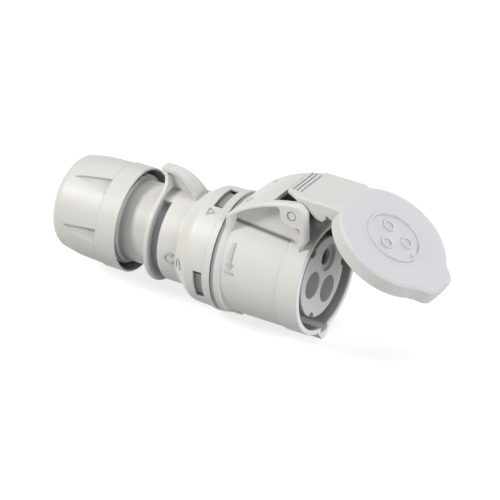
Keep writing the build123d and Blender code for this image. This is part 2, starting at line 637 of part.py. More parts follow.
def lid_arm():
    """The arm from the pin to the cup: a top plate, and two side walls that end in ears on the pin."""
    plan = arm_plan(0)
    outside = (arm_side() + arm_plate()) & plan
    rim = [e for e in outside.edges() if abs(e.center().Z - ARM_TOP_Z) < 0.01
           and (abs(e.center().Y) > 1 or e.center().X < HEEL_X + 1)]
    outside = fillet(rim, ARM_EASE)
    ears = cross_bar(HINGE_X, HINGE_Z, EAR_R, ARM_HALF)
    room = side_prism([(HEEL_X - 5, 10), (HEEL_X - 5, ARM_TOP_Z - ARM_PLATE), (crease()[0], ARM_TOP_Z - ARM_PLATE),
                       lid_point(-LID_R + 9.0, -ARM_PLATE), (lid_point(-LID_R + 9.0, 0)[0], 10)],
                      ARM_HALF - ARM_WALL)
    arm = outside + ears - room
    return arm - cross_bar(HINGE_X, HINGE_Z, PIN_R + PIN_RUN, ARM_HALF + 1)


def above_arm():
    """Everything above the arm's top, which the cup doesn't reach into."""
    end = lid_point(-10, 0)
    return side_prism([(HEEL_X - 5, ARM_TOP_Z), crease(), end, lid_point(-10, 12), (HEEL_X - 5, ARM_TOP_Z + 20)],
                      LID_R + 2, [0, 9.0, 0, 0, 0])


def lid_grip():
    """The ridges across the heel of the arm."""
    ridges = []
    for i in range(GRIP_RIDGES):
        x = HEEL_X + 1.8 + i * GRIP_PITCH
        ridges.append(cross_bar(x, ARM_TOP_Z + GRIP_HEIGHT - GRIP_PITCH * 0.42, GRIP_PITCH * 0.42, GRIP_HALF))
    return ridges


def make_lid():
    cup = lid_cup()
    arm = lid_arm()
    inside = lid_plane() * (Pos(Z=-LID_DEPTH / 2 - LID_PLATE) * Cylinder(LID_R - LID_WALL, LID_DEPTH))
    lid = (cup - above_arm()) + (arm - inside)
    for ridge in lid_grip():
        lid += ridge
    return lid


def make_lid_gasket():
    inner = SEAT_RING_R + GASKET_PLAY
    outer = LID_R - LID_WALL - GASKET_PLAY
    tall = LID_DEPTH - LID_PLATE + GASKET_PROUD
    ring = Pos(Z=-LID_PLATE - tall / 2) * (Cylinder(outer, tall) - Cylinder(inner, tall + 1))
    return lid_plane() * ring


def make_hinge_pin():
    half = BRACKET_HALF - PIN_SHORT
    pin = cross_bar(HINGE_X, HINGE_Z, PIN_R, half)
    return chamfer(pin.edges().filter_by(GeomType.CIRCLE), PIN_CHAMFER)


def make_lid_spring():
    """A torsion spring on the pin, one leg on the shell and one under the lid's arm."""
    length = SPRING_TURNS * SPRING_PITCH
    helix = Helix(pitch=SPRING_PITCH, height=length, radius=SPRING_COIL_R)
    section = Plane(origin=helix @ 0, z_dir=helix % 0) * Circle(SPRING_WIRE)
    coil = Pos(Z=-length / 2) * sweep(section, path=helix)
    # The coil's ends lie in the directions 0 degrees and SPRING_TURNS full turns, so both legs start there.
    low_leg = Pos(SPRING_COIL_R, -SPRING_LOW_LEG / 2, -length / 2) * Rot(X=90) * Cylinder(SPRING_WIRE, SPRING_LOW_LEG)
    top_leg = Pos(SPRING_COIL_R, SPRING_TOP_LEG / 2, length / 2) * Rot(X=90) * Cylinder(SPRING_WIRE, SPRING_TOP_LEG)
    spring = Rot(X=90) * (coil + low_leg + top_leg)
    return Pos(HINGE_X, 0, HINGE_Z) * spring


# Rear housing

def housing_body():
    return turned((-COLLAR_FRONT, COLLAR_BORE_R), (-COLLAR_FRONT, COLLAR_LIP_R, 0.4),
                  (-COLLAR_FRONT - COLLAR_LIP, COLLAR_LIP_R, 0.4), (-COLLAR_FRONT - COLLAR_LIP - 0.6, COLLAR_R, 0.3),
                  (-SHOULDER_FRONT, COLLAR_R - 0.4, 5.0), (-BODY_FRONT, BODY_R, 3.0), (-BODY_END, BODY_R, 2.4),
                  (-BODY_END, NECK_R), (-FLANGE_FRONT, NECK_R), (-FLANGE_FRONT, FLANGE_R, 0.5),
                  (-FLANGE_BACK, FLANGE_R, 0.5), (-FLANGE_BACK, NECK_R, 2.0), (-THREAD_FRONT, NECK_R, 0.6),
                  (-THREAD_FRONT, THREAD_R, 0.5), (-NECK_END, THREAD_R, 0.6), (-NECK_END, NECK_BORE_R),
                  (-BODY_END + 1.0, NECK_BORE_R), (-BODY_END + 5.0, BODY_BORE_R), (-COLLAR_BORE_END - 1, BODY_BORE_R),
                  (-COLLAR_BORE_END, COLLAR_BORE_R))


def bayonet_cuts():
    """Windows over the closed lugs, the channel that they turn in, and the slots that they enter by."""
    cuts = []
    for clock in LUG_CLOCKS:
        play = 2.0
        cuts.append(sector(-CHANNEL_FRONT, -CHANNEL_BACK, COLLAR_BORE_R - 1, COLLAR_LIP_R + 1, clock, WINDOW_WIDTH))
        cuts.append(sector(-CHANNEL_FRONT, -CHANNEL_BACK, COLLAR_BORE_R - 1, CHANNEL_R,
                           clock - TWIST / 2, LUG_WIDTH + TWIST + play))
        cuts.append(sector(-COLLAR_FRONT + 1, -CHANNEL_FRONT - 1, COLLAR_BORE_R - 1, CHANNEL_R,
                           clock - TWIST, LUG_WIDTH + play))
    return cuts


def hook_plan():
    """The hook's plan: narrow at the tip, wider where it meets the body."""
    edge = [(x, half) for x, half in HOOK_HALVES]
    return plan_prism(edge + [(x, -half) for x, half in reversed(edge)], 0, HOOK_TIP[1] + 5)


def make_hook():
    """The thumb hook: a band that sweeps down from the tip to the body, over a thin web."""
    top = Spline(HOOK_TIP, *HOOK_TOP, HOOK_FOOT)
    low = [(x - 0.5 * HOOK_THICKNESS, z - 0.9 * HOOK_THICKNESS) for x, z in reversed(HOOK_TOP)]
    foot_back = (HOOK_FOOT[0] - 2.4, BODY_BORE_R + 0.5)
    foot = Polyline(HOOK_FOOT, (HOOK_FOOT[0], BODY_BORE_R + 0.5), foot_back)
    under = Spline(foot_back, *low, (HOOK_TIP[0] + 0.6, HOOK_TIP[1] - HOOK_THICKNESS))
    tip = Line((HOOK_TIP[0] + 0.6, HOOK_TIP[1] - HOOK_THICKNESS), HOOK_TIP)
    band = extrude(Plane.XZ * make_face(Curve() + [top, foot, under, tip]), amount=HOOK_HALVES[-1][1] + 1, both=True)
    rear = -FLANGE_FRONT - 0.5
    web_line = Polyline(HOOK_FOOT, (HOOK_FOOT[0], BODY_BORE_R + 0.5), (-BODY_END + 1, BODY_BORE_R + 0.5),
                        (-BODY_END + 1, NECK_R - 1), (rear, NECK_R - 1), (rear, 25.0),
                        (HOOK_TIP[0] + 1.5, HOOK_TIP[1] - 0.6), HOOK_TIP)
    web = extrude(Plane.XZ * make_face(Curve() + [top, web_line]), amount=HOOK_WEB_HALF, both=True)
    return (band & hook_plan()) + web


def flange_shoulder():
    """The flange drawn up in an S-curve on each side, and leaning back to the hook's tip."""
    half = Polyline((12.5, 20.1), (12.5, 0), (0, 0), (0, HOOK_TIP[1] + 1), (HOOK_TIP_HALF, HOOK_TIP[1] + 1))
    curve = Spline((HOOK_TIP_HALF, HOOK_TIP[1] + 1), (HOOK_TIP_HALF + 0.3, 28.3), (5.6, 25.0), (9.2, 22.4), (12.5, 20.1))
    outline = make_face(Curve() + [half, curve])
    plate = Pos(X=HOOK_TIP[0] - 2) * extrude(Plane.YZ * outline, amount=12)
    plate += mirror(plate, Plane.XZ)
    back = Spline((-FLANGE_BACK, 22.5), (-FLANGE_BACK - 0.9, 26.5), HOOK_TIP)
    front_top = (HOOK_TIP[0] + HOOK_THICKNESS, HOOK_TIP[1] - 0.1)
    front = Spline(front_top, (-FLANGE_FRONT - 0.9, 26.3), (-FLANGE_FRONT, 22.0))
    side = Curve() + [Polyline((-FLANGE_FRONT, 22.0), (-FLANGE_FRONT, 0), (-FLANGE_BACK, 0), (-FLANGE_BACK, 22.5)),
                      back, Line(HOOK_TIP, front_top), front]
    return plate & extrude(Plane.XZ * make_face(side), amount=14, both=True)


def make_rear_housing():
    housing = housing_body()
    bore = rod(-COLLAR_FRONT + 1, -BODY_END + 3, BODY_BORE_R) + rod(-BODY_END + 4, -NECK_END - 1, NECK_BORE_R)
    housing += flange_shoulder() - rod(0, -NECK_END, NECK_R)
    housing += make_hook() - bore
    housing += sector(-BODY_END + 3, -FLANGE_FRONT - 0.5, NECK_R - 1, BODY_R, 0, HOOK_BASE_WIDTH)
    for cut in bayonet_cuts():
        housing -= cut
    return housing


# Gland nut

def make_gland_nut():
    band_end = NUT_FRONT + NUT_BAND
    dome_r = NUT_R - NUT_BAND_STEP
    nut = turned((-NUT_FRONT, NUT_R - NUT_SKIRT), (-NUT_FRONT, NUT_R, 0.4), (-band_end, NUT_R, 0.3),
                 (-band_end - 0.5, dome_r), (-NUT_END + 11.6, dome_r - 0.8, 30.0), (-NUT_END, dome_r - 3.0, 5.5),
                 (-NUT_END, NUT_HOLE_R, 0.8), (-NUT_END + 2.4, NUT_HOLE_R), (-NUT_END + 4.2, NUT_HOLE_R + 2.4),
                 (-NUT_THREAD_END - 1.2, CAGE_FLANGE_R + 0.6), (-NUT_THREAD_END, THREAD_R + RUN + SEAT),
                 (-NUT_THREAD_FRONT, THREAD_R + RUN + SEAT), (-NUT_THREAD_FRONT, NUT_R - NUT_SKIRT - 0.6, 0.8))
    for i in range(FLUTES):
        nut -= Rot(X=FLUTE_CLOCK + i * 360 / FLUTES) * flute()
    return nut


def leaf(high, high_bulge, low, low_bulge):
    """A pointed outline between two curved edges, from the band to the flute's tip."""
    front = -NUT_FRONT - NUT_BAND - 0.5
    tip = (front - FLUTE_LENGTH, FLUTE_TIP)
    middle = front - FLUTE_LENGTH / 2
    upper = ThreePointArc((front, high), (middle, (high + FLUTE_TIP) / 2 + high_bulge), tip)
    lower = ThreePointArc(tip, (middle, (low + FLUTE_TIP) / 2 - low_bulge), (front, low))
    return make_face(Curve() + [upper, lower, Line((front, low), (front, high))])


def flute():
    """A pointed recess with a step in its floor, open towards the band."""
    upper, middle, lower = FLUTE_BULGES
    deep = leaf(FLUTE_HALF, upper, -FLUTE_HALF, middle)
    step = leaf(0, upper, -FLUTE_HALF - FLUTE_STEP, lower)
    return Pos(Z=FLUTE_FLOOR_R) * extrude(deep, amount=6) + Pos(Z=FLUTE_STEP_R) * extrude(step, amount=6)


# Cable clamp and seal

def make_clamp_cage():
    seat = -NECK_END
    sleeve_r = NECK_BORE_R - SEAT
    root = CAGE_FLANGE_R - 1.6
    tip = seat - CAGE_FLANGE - FINGER_LENGTH
    cage = turned((seat + CAGE_SLEEVE, sleeve_r), (seat, sleeve_r), (seat, CAGE_FLANGE_R - 0.4),
                  (seat - CAGE_FLANGE, CAGE_FLANGE_R - 0.4), (seat - CAGE_FLANGE, root),
                  (tip, FINGER_TIP_R, 0.4), (tip, FINGER_TIP_R - CAGE_WALL + 0.4, 0.4),
                  (seat - CAGE_FLANGE - 1.2, sleeve_r - CAGE_WALL), (seat + CAGE_SLEEVE - CAGE_LEDGE, sleeve_r - CAGE_WALL),
                  (seat + CAGE_SLEEVE - CAGE_LEDGE, CABLE_R + 2.0), (seat + CAGE_SLEEVE, CABLE_R + 2.0))
    slot_front = seat - CAGE_FLANGE - 1.5
    slot = Pos(X=(slot_front + tip - 1) / 2, Z=CAGE_FLANGE_R) * Box(slot_front - tip + 1, FINGER_SLOT, 2 * CAGE_FLANGE_R)
    for i in range(FINGERS // 2):
        clock = i * 360 / FINGERS
        cage -= Rot(X=clock) * slot
        cage -= Rot(X=clock + 180) * slot
    return cage


def make_gland_seal():
    front = -NECK_END + CAGE_SLEEVE - CAGE_LEDGE
    root_r = NECK_BORE_R - SEAT - CAGE_WALL - 0.1
    bend = -NECK_END - CAGE_FLANGE - 0.4
    tip = -NECK_END - CAGE_FLANGE - FINGER_LENGTH + 1.0
    return turned((front, CABLE_R), (front, root_r), (bend, root_r), (tip, FINGER_TIP_R - CAGE_WALL + 0.2),
                  (tip, CABLE_R))


def build_all():
    nodes = {
        "socket_shell": make_socket_shell(),
        "contact_insert": make_contact_insert(),
        "insert_cover": make_insert_cover(),
        "cover_screws": make_cover_screws(),
        "terminal_screws": make_terminal_screws(),
        "clamp_rings": make_clamp_rings(),
        "housing_seal": make_housing_seal(),
        "lid": make_lid(),
        "lid_gasket": make_lid_gasket(),
        "hinge_pin": make_hinge_pin(),
        "lid_spring": make_lid_spring(),
        "rear_housing": make_rear_housing(),
        "gland_nut": make_gland_nut(),
        "clamp_cage": make_clamp_cage(),
        "gland_seal": make_gland_seal(),
    }
    for name, clock, pin_r, sleeve_r, depth in CONTACTS:
        nodes[name] = make_contact(clock, pin_r, sleeve_r, depth)
    return nodes


os.makedirs("parts", exist_ok=True)
for node_name, shape in build_all().items():
    export_step(shape, f"parts/{node_name}.step")
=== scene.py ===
"""Looks for the twist-lock coupler: moulded plastics, rubber, plated metal and the raised marks.

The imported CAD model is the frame. Its nodes keep their shapes and get materials here, and the small
raised marks that the mouldings carry are built on top of them. Lengths are millimetres and angles are
degrees, unless a comment says otherwise. MM turns a length into Blender's metres. A clock is an angle
round the socket's axis, from the top towards -Y.
"""

import json
import math

import bmesh
import bpy
from mathutils import Matrix, Vector
from mathutils.bvhtree import BVHTree


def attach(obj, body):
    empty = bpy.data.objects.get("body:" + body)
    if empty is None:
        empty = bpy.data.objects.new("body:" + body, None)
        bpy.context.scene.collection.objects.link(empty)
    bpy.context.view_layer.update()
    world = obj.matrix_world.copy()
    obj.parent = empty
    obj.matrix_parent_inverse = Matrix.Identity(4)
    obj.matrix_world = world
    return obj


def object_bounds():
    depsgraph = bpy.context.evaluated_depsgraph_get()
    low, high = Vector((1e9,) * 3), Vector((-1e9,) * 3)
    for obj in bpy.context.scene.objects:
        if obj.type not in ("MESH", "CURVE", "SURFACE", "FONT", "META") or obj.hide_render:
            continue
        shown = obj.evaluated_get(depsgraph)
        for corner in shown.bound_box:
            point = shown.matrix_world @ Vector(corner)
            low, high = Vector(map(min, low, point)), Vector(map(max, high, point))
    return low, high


MM = 0.001

# The photograph's view: the camera's right and up directions, and how far the picture's middle lies
# from the origin along right, along up and towards the camera
CAMERA_RIGHT = Vector((0.8610, 0.5067, 0.0383)).normalized()
CAMERA_UP = Vector((-0.2720, 0.3958, 0.8772)).normalized()
CAMERA_DISTANCE = 2600.0
VIEW_WIDTH = 223.2
VIEW_MIDDLE = (-32.28, 12.03, -10.0)
SENSOR_WIDTH = 36.0
CLIP_METRES = (0.05, 60.0)

# Places on the solids, with the lid as it stands at rest
LID_CENTRE = (34.66, 30.88)         # x and z of the outer face's middle
LID_TILT = 32.7
MOUTH_R = 24.3
RIM_X = 2.0
SHELL_R = 26.2
BODY_R = 21.9
COLLAR_R = 27.4
ROOF_SLOPE = 36.0                   # behind the roof's window
PANEL_SIDE = 14.73                  # from the middle to a cheek panel at x = 0
PANEL_SLOPE = 0.0633                # how much that grows for each millimetre along x
CONTACT_CLOCKS = (-30.0, 90.0, 210.0)
# Painted shade lies along these lines between the lid's grip ridges.
GRIP_LINES = (-11.85, -9.95, -8.0)  # x of the lines between the lid's grip ridges

# Bounds of the masks that paint shade and light, each as (where it is 0, where it is 1). X, Y and Z are
# measured along the axes, R from the socket's axis, and PANEL outwards from a cheek panel.
WALL_X = (RIM_X - 0.5, RIM_X - 1.6)
WALL_R = (MOUTH_R + 1.2, MOUTH_R + 0.4)
SPIGOT_X = (-40.2, -40.8)
ROOM_X = (-18.6, -18.3)
ROOM_Z = (26.3, 27.3)
ROOM_PANEL = (-0.8, -1.1)
ROOM_FRONT_X = (-5.5, -4.5)
ROOM_FRONT_Y = (14.5, 14.25)
CREASE_FRONT_X = (-4.0, -9.0)
CREASE_BACK_X = (-38.6, -37.6)
CREASE_Z = (15.0, 20.0)
CREASE_R = (27.8, 26.3)
CREASE_PANEL = (1.8, 0.2)
RIM_FACE_X = (RIM_X - 0.5, RIM_X - 0.15)
RIM_FACE_Z = (20.0, 18.0)
HOLES_X = (-0.5, -1.6)
GROOVE_FRONT_X = (-72.8, -75.0)
GROOVE_BACK_X = (-78.4, -77.6)
GROOVE_R = (23.2, 21.5)
COLLAR_INSIDE_X = (-56.0, -54.0)
COLLAR_INSIDE_R = (27.0, 26.7)
NECK_X = (-88.0, -95.0)
GRIP_LINE_SIDE = (0.55, 0.1)        # to either side of a line's middle
GRIP_Y = (9.4, 9.0)
GRIP_Z = (44.1, 44.4)
DISC_X = (7.0, 17.0)
DISC_DEPTH = (-2.2, -0.7)           # from the lid's outer face
NUT_MOUTH_X = (-105.0, -103.0)
NUT_MOUTH_R = (24.2, 23.8)

# How much of its material's full painted shade a place gets
WALL_SHARE = 0.65
SPIGOT_SHARE = 0.735
ROOM_SHARE = 0.9
NECK_SHARE = 0.65

# Colours, as light as the photograph's mouldings
WARM_GREY = (0.606, 0.597, 0.575)
# Painted shade: the body's grey made darker for the nut, which stands nearest the key lamp.
NUT_PAINTED_SHADE_GREY = (0.575, 0.567, 0.547)
# Painted light: a lighter grey for the mouth's rim and the keel's end.
RIM_PAINTED_LIGHT_GREY = (0.74, 0.735, 0.75)
# Painted shade: the body's grey made darker for the lid's arm.
ARM_PAINTED_SHADE_GREY = (0.575, 0.566, 0.545)
MARK_GREY = (0.46, 0.455, 0.44)
# Painted reflection and painted shade: the lid's round face and its marks, cooler and darker than the arm.
DISC_PAINTED_REFLECTION_GREY = (0.540, 0.544, 0.551)
# Painted shade: a darker grey for the insert, whose face lies in shade inside the mouth.
INSERT_PAINTED_SHADE_GREY = (0.53, 0.526, 0.515)
CAGE_BLACK = (0.06, 0.06, 0.065)
RUBBER_BLACK = (0.03, 0.03, 0.032)
ZINC = (0.62, 0.62, 0.60)
NICKEL = (0.66, 0.62, 0.52)

# Factors on a colour: mottled a little warmer, cooler where shade is painted, and clouded metal. Dust is
# added.
WARMER = (1.0, 0.992, 0.975)
COOLER = (0.97, 1.0, 1.04)
CLOUDED = 0.86
DUST_LIGHTER = 0.03

# Gloss. The noise in a material adds to its roughness.
PLASTIC_ROUGHNESS = 0.36
RUBBER_ROUGHNESS = 0.62
PLASTIC_SPECULAR = 0.42

# Raised marks. A body and its material slot own each mark.
ON_LID = ("lid", "lid")
ON_SHELL = ("socket", "shell")
ON_REAR = ("rear", "rear")
MARK_HEIGHT = 0.45
ARROW_HEIGHT = 0.6
ARROW_WIDTH = 1.1
LID_MARK_HEIGHT = 0.65
ROOF_MARK_HEIGHT = 0.25
ROOF_MARK_WIDTH = 0.6
MARK_SINK = 0.3                     # how deep a mark reaches below the surface, as a share of its height
MARK_EDGE = 0.12                    # how far its sides lean in
CAST_HEIGHT = 3.0                   # where the rays that find the surface start

# The turns on the neck that show in the nut's mouth
THREAD_R = 20.2
THREAD_HEIGHT = 0.6
THREAD_WIDTH = 1.2
THREAD_PITCH = 2.1
THREAD_FROM = -96.4
THREAD_TO = -102.3

# Edges over these angles stay sharp
NODE_SHARP = 32
MARK_SHARP = 24

# Stage, in metres and watts. A light is its name, place, size, power and colour.
FLOOR_HALF = 20.0
FLOOR_LIT = 0.34
FLOOR_GLOW = 0.74
LIGHT_TARGET = (-0.03, 0, 0)
LIGHTS = (
    ("key", (-1.4, -0.95, 1.05), 0.5, 30.5, (1.0, 0.985, 0.95)),
    ("fill", (1.6, -0.5, 0.5), 1.0, 23.0, (0.97, 0.985, 1.0)),
    ("low", (-0.6, -1.7, 0.1), 0.8, 4.0, (1.0, 0.985, 0.95)),
    ("top", (0.0, 0.5, 1.6), 0.8, 10.5, (0.98, 0.99, 1.0)),
    ("back", (0.2, 1.6, 0.5), 0.8, 7.0, (0.98, 0.99, 1.0)),
)
WORLD_COLOUR = (0.94, 0.97, 1.0)
WORLD_STRENGTH = 0.30


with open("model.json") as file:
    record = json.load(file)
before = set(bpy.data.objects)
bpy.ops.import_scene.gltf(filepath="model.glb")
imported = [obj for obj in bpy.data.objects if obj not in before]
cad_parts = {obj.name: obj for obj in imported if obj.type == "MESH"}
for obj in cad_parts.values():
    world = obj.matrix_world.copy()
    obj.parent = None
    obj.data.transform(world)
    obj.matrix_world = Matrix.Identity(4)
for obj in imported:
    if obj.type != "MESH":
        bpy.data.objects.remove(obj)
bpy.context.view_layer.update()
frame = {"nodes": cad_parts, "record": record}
floor_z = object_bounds()[0].z


# Shader maths

class Number:
    """A value in a node tree that ordinary operators work on."""

    def __init__(self, tree, socket):
        self.tree = tree
        self.socket = socket

    def _math(self, operation, other):
        node = self.tree.nodes.new("ShaderNodeMath")
        node.operation = operation
        for slot, value in enumerate((self, other)):
            if isinstance(value, Number):
                self.tree.links.new(value.socket, node.inputs[slot])
            else:
                node.inputs[slot].default_value = value
        return Number(self.tree, node.outputs[0])

    def __add__(self, other):
        return self._math("ADD", other)

    def __sub__(self, other):
        return self._math("SUBTRACT", other)

    def __mul__(self, other):
        return self._math("MULTIPLY", other)

    def __pow__(self, other):
        return self._math("POWER", other)

    def __abs__(self):
        return (self * self) ** 0.5

    def most(self, other):
        return self._math("MAXIMUM", other)

    def ramp(self, start, end):
        """0 before start and 1 after end, smoothly in between."""
        node = self.tree.nodes.new("ShaderNodeMapRange")
        node.interpolation_type = "SMOOTHSTEP"
        node.inputs["From Min"].default_value = start
        node.inputs["From Max"].default_value = end
        self.tree.links.new(self.socket, node.inputs["Value"])
        return Number(self.tree, node.outputs["Result"])

    def over(self, bounds):
        """A length's ramp over bounds in millimetres."""
        return self.ramp(bounds[0] * MM, bounds[1] * MM)


def from_axis(y, z):
    """How far a place is from the socket's axis."""
    return (y * y + z * z) ** 0.5


class Shader:
    """One material's node tree, with the pieces that the materials here share."""

    def __init__(self, name):
        self.material = bpy.data.materials.new(name)
        self.material.use_nodes = True
        self.tree = self.material.node_tree
        self.surface = self.tree.nodes["Principled BSDF"]
        self.place = self.tree.nodes.new("ShaderNodeTexCoord").outputs["Object"]

    def axes(self):
        """The place's x, y and z, in metres."""
        split = self.tree.nodes.new("ShaderNodeSeparateXYZ")
        self.tree.links.new(self.place, split.inputs[0])
        return [Number(self.tree, output) for output in split.outputs]

    def noise(self, size, detail=2.0, stretch=(1, 1, 1)):
        """Noise with features of about that size."""
        node = self.tree.nodes.new("ShaderNodeTexNoise")
        node.inputs["Scale"].default_value = 1 / (size * MM)
        node.inputs["Detail"].default_value = detail
        mapping = self.tree.nodes.new("ShaderNodeMapping")
        mapping.inputs["Scale"].default_value = stretch
        self.tree.links.new(self.place, mapping.inputs["Vector"])
        self.tree.links.new(mapping.outputs["Vector"], node.inputs["Vector"])
        return Number(self.tree, node.outputs["Fac"])

    def mix(self, share, low, high):
        """A colour between two, by a Number. Either may be another mix's result."""
        node = self.tree.nodes.new("ShaderNodeMix")
        node.data_type = "RGBA"
        self.tree.links.new(share.socket, node.inputs["Factor"])
        for socket, colour in (("A", low), ("B", high)):
            target = [i for i in node.inputs if i.name == socket and i.type == "RGBA"][0]
            if isinstance(colour, bpy.types.NodeSocket):
                self.tree.links.new(colour, target)
            else:
                target.default_value = (*colour, 1)
        return [o for o in node.outputs if o.type == "RGBA"][0]

    def colour(self, socket):
        self.tree.links.new(socket, self.surface.inputs["Base Color"])

    def roughness(self, number):
        self.tree.links.new(number.socket, self.surface.inputs["Roughness"])

    def relief(self, height, depth, edge):
        """Bump from a Number, over edges that look rounded by edge."""
        bump = self.tree.nodes.new("ShaderNodeBump")
        bump.inputs["Distance"].default_value = depth * MM
        self.tree.links.new(height.socket, bump.inputs["Height"])
        if edge:
            ease = self.tree.nodes.new("ShaderNodeBevel")
            ease.samples = 6
            ease.inputs["Radius"].default_value = edge * MM
            self.tree.links.new(ease.outputs["Normal"], bump.inputs["Normal"])
        self.tree.links.new(bump.outputs["Normal"], self.surface.inputs["Normal"])


# Materials

def tint(colour, factors=(1, 1, 1), level=1.0):
    return tuple(part * level * factor for part, factor in zip(colour, factors))


def moulded(name, colour, dark=None, deep=0.6, edge=0.5, second=None, share=None):
    """Satin moulded plastic: faint mottling, uneven gloss and a fine spark-eroded grain.

    dark is a function of the shader that gives a Number, 1 where shade is painted on the moulding, and
    deep is how much of its colour is left there. Where share, another such function, gives 1, the second
    colour takes over, which paints light on the shell's rim and a reflection on the lid's disc."""
    shader = Shader(name)
    mottle = shader.noise(size=14.0, detail=3.0).ramp(0.3, 0.7)
    shade = shader.mix(mottle, colour, tint(colour, WARMER))
    if second:
        shade = shader.mix(share(shader), shade, second)
    if dark:
        shade = shader.mix(dark(shader), shade, tint(colour, COOLER, deep))
    shader.colour(shade)
    grain = shader.noise(size=0.28, detail=1.0)
    flow = shader.noise(size=5.0, stretch=(0.5, 1, 1))
    shader.roughness(flow * 0.10 + grain * 0.06 + PLASTIC_ROUGHNESS)
    shader.surface.inputs["Specular IOR Level"].default_value = PLASTIC_SPECULAR
    shader.relief(grain * 0.7 + flow * 0.3, depth=0.035, edge=edge)
    return shader.material


def rubber(name, colour):
    """Matt rubber with a little dust."""
    shader = Shader(name)
    grain = shader.noise(size=0.4)
    dust = shader.noise(size=6.0, detail=3.0).ramp(0.45, 0.75)
    shader.colour(shader.mix(dust * 0.35, colour, tuple(part + DUST_LIGHTER for part in colour)))
    shader.roughness(grain * 0.12 + RUBBER_ROUGHNESS)
    shader.relief(grain, depth=0.03, edge=0.25)
    return shader.material


def metal(name, colour, roughness, stretch):
    """Plated metal with fine marks, packed closer along an axis where its stretch is larger."""
    shader = Shader(name)
    marks = shader.noise(size=0.35, stretch=stretch)
    cloud = shader.noise(size=3.0, detail=3.0)
    shader.colour(shader.mix(cloud, colour, tint(colour, level=CLOUDED)))
    shader.surface.inputs["Metallic"].default_value = 1.0
    shader.roughness(marks * 0.14 + cloud * 0.06 + roughness)
    shader.relief(marks, depth=0.012, edge=0.2)
    return shader.material


def shell_painted_shade(shader):
    """Painted shade: 1 in the crease below the cheek panels, and nearly so in the bracket's room, on the
    spigot and lugs inside the collar, and on the mouth's wall behind its rim."""
    x, y, z = shader.axes()
    radius = from_axis(y, z)
    side = abs(y)
    from_panel = side - (x * PANEL_SLOPE + PANEL_SIDE * MM)
    wall = radius.over(WALL_R) * x.over(WALL_X)
    spigot = x.over(SPIGOT_X)
    front = side.over(ROOM_FRONT_Y) * x.over(ROOM_FRONT_X)
    room = x.over(ROOM_X) * from_panel.over(ROOM_PANEL).most(front) * z.over(ROOM_Z)
    crease = from_panel.over(CREASE_PANEL) * radius.over(CREASE_R) * z.over(CREASE_Z)
    crease = crease * x.over(CREASE_FRONT_X) * x.over(CREASE_BACK_X)
    return (wall * WALL_SHARE).most(spigot * SPIGOT_SHARE).most(room * ROOM_SHARE).most(crease)


def rim_painted_light(shader):
    """Painted light: 1 on the mouth's rim and the keel's end, below the bracket, which take a lighter
    grey.
    """
    x, _, z = shader.axes()
    return x.over(RIM_FACE_X) * z.over(RIM_FACE_Z)


def holes_painted_shade(shader):
    """Painted shade: 1 in the insert's three holes and down its side."""
    x, _, _ = shader.axes()
    return x.over(HOLES_X)


def rear_painted_shade(shader):
    """Painted shade: 1 in the groove between the body and the flange and inside the collar, less on the
    neck.
    """
    x, y, z = shader.axes()
    radius = from_axis(y, z)
    groove = x.over(GROOVE_FRONT_X) * x.over(GROOVE_BACK_X) * radius.over(GROOVE_R)
    collar = x.over(COLLAR_INSIDE_X) * radius.over(COLLAR_INSIDE_R)
    return groove.most(collar).most(x.over(NECK_X) * NECK_SHARE)


def grip_painted_shade(shader):
    """Painted shade: 1 between the lid's grip ridges."""
    x, y, z = shader.axes()
    first, *others = [abs(x - middle * MM).over(GRIP_LINE_SIDE) for middle in GRIP_LINES]
    for line in others:
        first = first.most(line)
    return first * abs(y).over(GRIP_Y) * z.over(GRIP_Z)


def disc_painted_reflection(shader):
    """Painted reflection and painted shade: 1 on the face of the lid's round part, which takes a cooler,
    darker grey, 0 on its arm and skirt.
    """
    x, _, z = shader.axes()
    tilt = math.radians(LID_TILT)
    along = (x - LID_CENTRE[0] * MM) * math.sin(tilt)
    height = along + (z - LID_CENTRE[1] * MM) * math.cos(tilt)
    return x.over(DISC_X) * height.over(DISC_DEPTH)


def nut_mouth_painted_shade(shader):
    """Painted shade: 1 on the wall of the nut's mouth."""
    x, y, z = shader.axes()
    return from_axis(y, z).over(NUT_MOUTH_R) * x.over(NUT_MOUTH_X)


# The masks paint shade into the deep places of the shell, rear, nut, lid and insert, light on the shell's
# rim and a reflection on the lid's disc.
MATERIALS = {
    "shell": moulded("shell_plastic", WARM_GREY, shell_painted_shade, deep=0.26, second=RIM_PAINTED_LIGHT_GREY, share=rim_painted_light),
    "rear": moulded("rear_plastic", WARM_GREY, rear_painted_shade, deep=0.6),
    "nut": moulded("nut_plastic", NUT_PAINTED_SHADE_GREY, nut_mouth_painted_shade, deep=0.5),
    "lid": moulded("lid_plastic", ARM_PAINTED_SHADE_GREY, grip_painted_shade, deep=0.5, second=DISC_PAINTED_REFLECTION_GREY, share=disc_painted_reflection),
    "insert": moulded("insert_plastic", INSERT_PAINTED_SHADE_GREY, holes_painted_shade, deep=0.95, edge=0.3),
    "pin": moulded("pin_plastic", WARM_GREY, edge=0.3),
    "seal": rubber("seal_rubber", RUBBER_BLACK),
    "cage": moulded("cage_plastic", CAGE_BLACK, edge=0.3),
    "shell_mark": moulded("shell_mark_plastic", MARK_GREY, edge=0),
    "rear_mark": moulded("rear_mark_plastic", MARK_GREY, edge=0),
    "lid_mark": moulded("lid_mark_plastic", DISC_PAINTED_REFLECTION_GREY, edge=0),
    "steel": metal("zinc_plate", ZINC, roughness=0.26, stretch=(1, 4, 4)),
    "brass": metal("nickel_plate", NICKEL, roughness=0.20, stretch=(6, 1, 1)),
}


def smooth(mesh, sharp):
    """Smooth shading, except over edges that bend by more than sharp."""
    mesh.polygons.foreach_set("use_smooth", [True] * len(mesh.polygons))
    mesh.set_sharp_from_angle(angle=math.radians(sharp))


